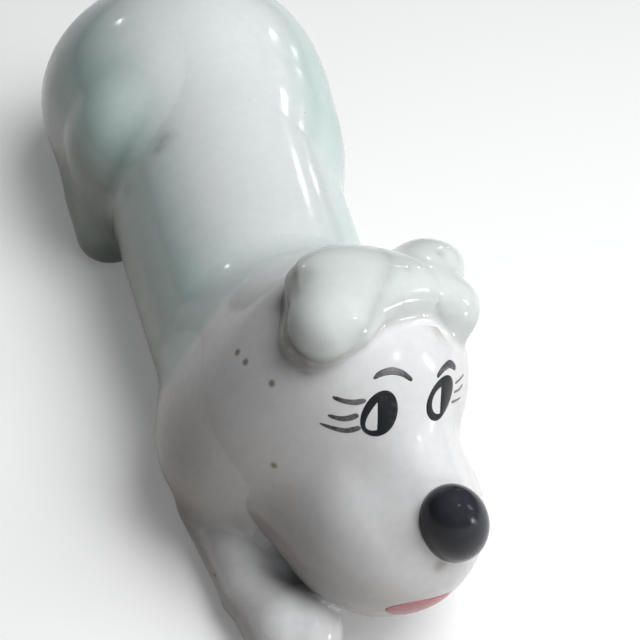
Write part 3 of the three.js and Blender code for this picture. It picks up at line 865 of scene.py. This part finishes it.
black_glaze = glazed("black_glaze", NOSE_BLACK, NOSE_BLACK, NOSE_POOL, SCUFF, NOSE_MATT, NOSE_SHINE)
nose_rise = NOSE_TURN @ np.array([0.0, 0.0, NOSE_HALF_SPINE])
cast("nose", nose_form, (from_head(NOSE_PLACE - nose_rise), from_head(NOSE_PLACE + nose_rise)),
     NOSE_GIRTH, NOSE_GRID,
     {"tint": everywhere(1.0), "crease": everywhere(0.0), "dirt": everywhere(SCUFFED)}, black_glaze)

# Eyes: ovals of dark enamel brushed onto the fired glaze, round a white that is left bare.
# The white is an oval with one straight edge. Across and up are measured from the middle of the skull.
ENAMEL = 0.12
INK_BLACK = (0.016, 0.017, 0.02, 1.0)
STREAKS = (900.0, 3.0)
STREAK_RANGE = (0.3, 0.7, 0.92, 1.05)
DRY_POWER = 0.5
ENAMEL_ROUGHNESS = (0.2, 1.0, 0.16, 0.3)
BRUSH_STRENGTH = 0.3
BRUSH_HEIGHT = 0.1
EYE_LOAD = 1.2
EYE_THINNED = 0.12
EYE_RIM = 0.8
EYE_THIN_RUN = 1.5
EYE_OVALS = {"right": ((-9.5, 8.0), (6.2, 9.8), -28.5), "left": ((5.1, 9.65), (6.3, 9.7), -62.0)}
WHITE_OVALS = {"right": ((-8.1, 9.1), (4.3, 11.3), -40.3), "left": ((4.9, 9.3), (4.2, 5.6), -63.0)}
WHITE_EDGES = {"right": ((-10.0, 4.6), (-9.9, 10.4)), "left": ((4.4, 7.0), (5.5, 11.7))}
WHITE_MIDDLES = {"right": np.array([-10.9, 6.5]), "left": np.array([3.7, 9.2])}
FRONT = (np.array([1.0, 0.0, 0.0]), np.array([0.0, 0.0, 1.0]), np.array([0.0, -1.0, 0.0]), SKULL)


def laid(across, up, level, plane):
    """Points of a flat outline laid on the head: from a plane inside it, out to a level of its form."""
    side, rise, out, origin = plane
    starts = origin + across[..., None] * side + up[..., None] * rise
    return from_head(on_head(starts, np.broadcast_to(out, starts.shape), level))


def inked(name, deep, pale):
    """Enamel of a brush stroke: pale where the brush ran dry, by the root of its load times its streaks."""
    material = bpy.data.materials.new(name)
    material.use_nodes = True
    tree = material.node_tree
    bsdf = tree.nodes["Principled BSDF"]
    where = node(tree, "ShaderNodeTexCoord").outputs["Object"]
    load = node(tree, "ShaderNodeAttribute", attribute_name="load").outputs["Fac"]
    streaks = ranged(tree, noise(tree, where, *STREAKS), *STREAK_RANGE)
    cover = reckoned(tree, "MULTIPLY", reckoned(tree, "POWER", load, DRY_POWER), streaks)
    share = reckoned(tree, "MINIMUM", cover, 1.0)
    tree.links.new(mixed(tree, share, pale, deep), bsdf.inputs["Base Color"])
    tree.links.new(ranged(tree, share, *ENAMEL_ROUGHNESS), bsdf.inputs["Roughness"])
    bump = node(tree, "ShaderNodeBump")
    bump.inputs["Strength"].default_value = BRUSH_STRENGTH
    bump.inputs["Distance"].default_value = BRUSH_HEIGHT * MM
    tree.links.new(share, bump.inputs["Height"])
    tree.links.new(bump.outputs["Normal"], bsdf.inputs["Normal"])
    return material


ink_enamel = inked("ink_enamel", INK_BLACK, PORCELAIN_WHITE)


def oval_reach(start, rays, oval):
    """How far rays run from a start to an oval: the root of the square equation of a ray and an ellipse."""
    middle, size, lean = oval
    c, s = np.cos(np.radians(lean)), np.sin(np.radians(lean))
    square = np.array([[c, -s], [s, c]]) / (np.array(size) / 2)
    from_middle, ray = (start - np.array(middle)) @ square, rays @ square
    along, steep = (ray * from_middle).sum(-1), (ray * ray).sum(-1)
    return (np.sqrt(along ** 2 + steep * (1 - from_middle @ from_middle)) - along) / steep


def edge_reach(start, rays, edge):
    """How far rays run from a start to a straight edge: its distance over their slope, or without end."""
    low, high = np.array(edge)
    square_on = np.array([high[1] - low[1], low[0] - high[0]])
    slope = rays @ square_on
    return np.where(slope > 1e-6, (low - start) @ square_on / np.maximum(slope, 1e-6), np.inf)


def eye(side, around=144, section=16):
    """Ring of enamel as a grid of turn and section: from the white's edge to the oval's, over and under."""
    middle = WHITE_MIDDLES[side]
    turn = np.linspace(-np.pi, np.pi, around, endpoint=False)
    rays = np.stack([np.cos(turn), np.sin(turn)], -1)
    outer = oval_reach(middle, rays, EYE_OVALS[side])
    inner = np.minimum(oval_reach(middle, rays, WHITE_OVALS[side]),
                       edge_reach(middle, rays, WHITE_EDGES[side]))
    bend = np.linspace(0, 2 * np.pi, section, endpoint=False)[:, None]
    out = inner + (outer - inner) * (0.5 - 0.5 * np.cos(bend))
    across, up = middle[0] + out * rays[:, 0], middle[1] + out * rays[:, 1]
    points = laid(across, up, np.broadcast_to(ENAMEL * np.sin(bend), out.shape), FRONT).reshape(-1, 3)
    here = np.arange(section * around).reshape(section, around)
    beside, after = np.roll(here, -1, axis=1), np.roll(here, -1, axis=0)
    quads = np.stack([here, beside, np.roll(beside, -1, axis=0), after], -1).reshape(-1, 4)
    thinned = EYE_THINNED * soft((out - inner - EYE_RIM) / EYE_THIN_RUN)
    load = (EYE_LOAD - thinned).reshape(-1)
    make_piece(f"eye_{side}", points, quads, np.zeros((0, 3), int), {"load": load}, ink_enamel)


for side in SIDES:
    eye(side)

# Brows and lashes: single strokes of the same enamel, painted over the fired glaze with a fine brush.
# Each brush point is across, up, width and load.
BROWS = {"right": [(-10.3, 14.4, 0.6, 0.8), (-8.7, 15.4, 1.0, 0.72), (-6.4, 15.9, 1.25, 0.62),
                   (-4.3, 15.5, 1.2, 0.72), (-3.1, 14.8, 1.0, 0.9), (-2.1, 14.1, 0.9, 0.98)],
         "left": [(4.4, 13.6, 0.9, 0.9), (6.6, 14.5, 1.2, 0.82), (9.2, 14.6, 1.4, 0.82),
                  (11.3, 13.1, 1.2, 0.78)]}
LASHES = {"right": [[(-17.6, 9.8, 0.8, 0.95), (-15.6, 9.6, 0.95, 0.8), (-13.8, 9.8, 1.05, 0.72),
                     (-12.0, 10.5, 0.8, 0.78)],
                    [(-18.4, 6.1, 0.7, 0.98), (-16.5, 6.0, 1.0, 0.8), (-14.9, 6.5, 1.1, 0.82),
                     (-13.4, 7.5, 1.0, 0.85)],
                    [(-19.6, 4.0, 0.5, 0.8), (-17.5, 3.7, 0.9, 0.85), (-15.5, 3.7, 1.1, 0.85),
                     (-14.0, 4.3, 1.15, 0.8), (-12.9, 5.0, 0.9, 0.75)]],
          "left": [[(14.8, 10.5, 0.4, 0.5), (12.7, 10.5, 0.45, 0.55), (10.5, 10.6, 0.5, 0.65)],
                   [(14.0, 9.0, 0.4, 0.5), (12.2, 8.7, 0.5, 0.55), (9.9, 9.1, 0.5, 0.6)],
                   [(13.1, 6.6, 0.4, 0.5), (10.9, 7.0, 0.5, 0.6), (8.9, 7.5, 0.55, 0.65)]]}


def brushed(brush_points, steps):
    """Line through brush points: cubics whose slope at a point is half the step between its neighbours."""
    points = np.array(brush_points)
    padded = np.concatenate([2 * points[:1] - points[1:2], points, 2 * points[-1:] - points[-2:-1]])
    place = np.linspace(0, len(points) - 1, steps)
    start = np.minimum(place.astype(int), len(points) - 2)
    t = (place - start)[:, None]
    before, here, ahead, beyond = (padded[start + i] for i in range(4))
    return here + t / 2 * (ahead - before + t * (2 * before - 5 * here + 4 * ahead - beyond
                                                  + t * (3 * (here - ahead) + beyond - before)))


def stroke(name, brush_points, plane, material, steps=40, section=10, bluntness=10):
    """Closed stroke as a grid of place and section: a lens across the brushed line, round at both ends."""
    line = brushed(brush_points, steps)
    tangent = np.gradient(line[:, :2], axis=0)
    tangent /= length(tangent)[:, None]
    ends = np.sqrt(np.maximum(1 - np.abs(np.linspace(-1, 1, steps)) ** bluntness, 0))
    bend = np.linspace(0, 2 * np.pi, section, endpoint=False)[None, :]
    breadth = (line[:, 2] * ends / 2)[:, None] * np.cos(bend)
    across = line[:, :1] - tangent[:, 1:] * breadth
    up = line[:, 1:2] + tangent[:, :1] * breadth
    rows = laid(across, up, ENAMEL * np.sin(bend) * ends[:, None], plane)
    points, quads, fans = closed_tube(rows)
    load = np.concatenate([np.repeat(line[1:-1, 3], section), line[[0, -1], 3]])
    make_piece(name, points, quads, fans, {"load": load}, material)


for side in SIDES:
    stroke(f"brow_{side}", BROWS[side], FRONT, ink_enamel)
    for count, lash in enumerate(LASHES[side], 1):
        stroke(f"lash_{side}_{count}", lash, FRONT, ink_enamel)

# Mouth: one broad stroke of rose enamel across the chin, under the nose.
# It is laid on from a plane in the muzzle that looks forwards and down.
ROSE = (0.51, 0.14, 0.17, 1.0)
chin_angle = np.arctan2(-MUZZLE[2] / 2, -MUZZLE[1])
CHIN = (np.array([1.0, 0.0, 0.0]), np.array([0.0, -np.sin(chin_angle), np.cos(chin_angle)]),
        np.array([0.0, -np.cos(chin_angle), -np.sin(chin_angle)]), MUZZLE)
MOUTH = [(-9.4, 0.0, 3.2, 0.75), (-5.0, 0.4, 7.2, 0.85), (0.0, 0.6, 7.6, 0.9), (4.2, 0.3, 6.0, 0.85),
         (6.6, 0.0, 3.0, 0.75)]
rose_enamel = inked("rose_enamel", ROSE, PORCELAIN_WHITE)
stroke("mouth", MOUTH, CHIN, rose_enamel)

# Floor, light and camera: a pale table that keeps the shadow, soft lamps, and the view of the photograph.
# The table throws back less light than it shows, and the sky is brightest to the right and overhead.
TABLE_HALF = 3.0
TABLE_ROUGHNESS = 0.9
WHITE_SHARE = 0.15
TABLE_SHOWN = (0.97, 0.97, 0.97, 1.0)
TABLE_BOUNCE = (0.17, 0.13, 0.1, 1.0)
SKY_SIDE = (0.3, -0.3, 0.9)
SKY_BRIGHT = (0.2, 0.21, 0.22, 1.0)
SKY_DIM = (0.02, 0.019, 0.017, 1.0)
SKY_RANGE = (0.1, 1.0)
LAMP_DISTANCE = 650
LAMP_TARGET = Vector((0, 0, 30))


def seen(tree):
    """1 for rays from the eye, a mirror or glass, and 0 for the light that falls."""
    path = node(tree, "ShaderNodeLightPath")
    first = reckoned(tree, "MAXIMUM", path.outputs["Is Camera Ray"], path.outputs["Is Glossy Ray"])
    return reckoned(tree, "MAXIMUM", first, path.outputs["Is Transmission Ray"])


floor_mesh = bpy.data.meshes.new("floor")
corners = [(-1, -1), (1, -1), (1, 1), (-1, 1)]
floor_mesh.from_pydata([(TABLE_HALF * x, TABLE_HALF * y, 0) for x, y in corners], [], [(0, 1, 2, 3)])
floor = bpy.data.objects.new("floor", floor_mesh)
bpy.context.scene.collection.objects.link(floor)
table_paint = bpy.data.materials.new("table_paint")
table_paint.use_nodes = True
tree = table_paint.node_tree
matt = tree.nodes["Principled BSDF"]
tree.links.new(mixed(tree, seen(tree), TABLE_BOUNCE, TABLE_SHOWN), matt.inputs["Base Color"])
matt.inputs["Roughness"].default_value = TABLE_ROUGHNESS
glow = node(tree, "ShaderNodeEmission")
glow.inputs["Strength"].default_value = 1.0
cover = node(tree, "ShaderNodeMixShader")
tree.links.new(reckoned(tree, "MULTIPLY", seen(tree), WHITE_SHARE), cover.inputs[0])
tree.links.new(matt.outputs[0], cover.inputs[1])
tree.links.new(glow.outputs[0], cover.inputs[2])
tree.links.new(cover.outputs[0], tree.nodes["Material Output"].inputs["Surface"])
floor_mesh.materials.append(table_paint)

world = bpy.data.worlds.new("studio")
world.use_nodes = True
tree = world.node_tree
facing = node(tree, "ShaderNodeVectorMath", operation="DOT_PRODUCT")
tree.links.new(node(tree, "ShaderNodeTexCoord").outputs["Generated"], facing.inputs[0])
facing.inputs[1].default_value = SKY_SIDE
sky = mixed(tree, ranged(tree, facing.outputs["Value"], *SKY_RANGE), SKY_DIM, SKY_BRIGHT)
tree.links.new(sky, tree.nodes["Background"].inputs["Color"])
bpy.context.scene.world = world


def lamp(name, heading, size, power, mirrored):
    """Oblong lamp that looks at the dog's middle from a heading, and shows in the glaze if mirrored."""
    data = bpy.data.lights.new(name, "AREA")
    data.shape = "RECTANGLE"
    data.size, data.size_y = size[0] * MM, size[1] * MM
    data.energy = power
    light = bpy.data.objects.new(name, data)
    light.visible_glossy = mirrored
    way = Vector(heading).normalized()
    light.rotation_mode = "QUATERNION"
    light.rotation_quaternion = (-way).to_track_quat("-Z", "Y")
    light.location = (way * LAMP_DISTANCE + LAMP_TARGET) * MM
    bpy.context.scene.collection.objects.link(light)


lamp("key", (0.31, -0.16, 0.94), (450, 450), 4.0, False)
lamp("front", (0.36, -0.91, 0.2), (250, 250), 0.95, False)
lamp("rump_glint", (-0.42, 0.78, 0.45), (25, 25), 0.05, True)
lamp("window", (0.67, 0.635, 0.385), (10, 45), 0.05, True)
lamp("low_window", (0.74, 0.65, 0.17), (5, 40), 0.012, True)
lamp("panel", (0.48, -0.49, 0.73), (60, 45), 0.1, True)
lamp("roll_glint", (0.87, -0.34, 0.36), (50, 150), 0.2, True)
lamp("side", (0.79, -0.61, 0.05), (60, 30), 0.4, True)

RIGHT = np.array([0.95126, -0.26831, 0.15206])
UP = np.array([0.08140, 0.69399, 0.71537])
BACK = np.array([-0.29747, -0.66812, 0.68200])
EYE_POINT = np.array([-93.445, -262.136, 275.52])
SENSOR_WIDTH = 36.0
FOCAL_LENGTH = 84.375
CLIP_RANGE = (0.01, 20.0)
camera = bpy.data.objects.new("camera", bpy.data.cameras.new("camera"))
camera.data.sensor_width = SENSOR_WIDTH
camera.data.lens = FOCAL_LENGTH
camera.data.clip_start, camera.data.clip_end = CLIP_RANGE
pose = np.eye(4)
pose[:3, 0], pose[:3, 1], pose[:3, 2], pose[:3, 3] = RIGHT, UP, BACK, EYE_POINT * MM
camera.matrix_world = Matrix(pose.tolist())
bpy.context.scene.collection.objects.link(camera)
bpy.context.scene.camera = camera
bpy.context.scene.view_settings.view_transform = "Standard"
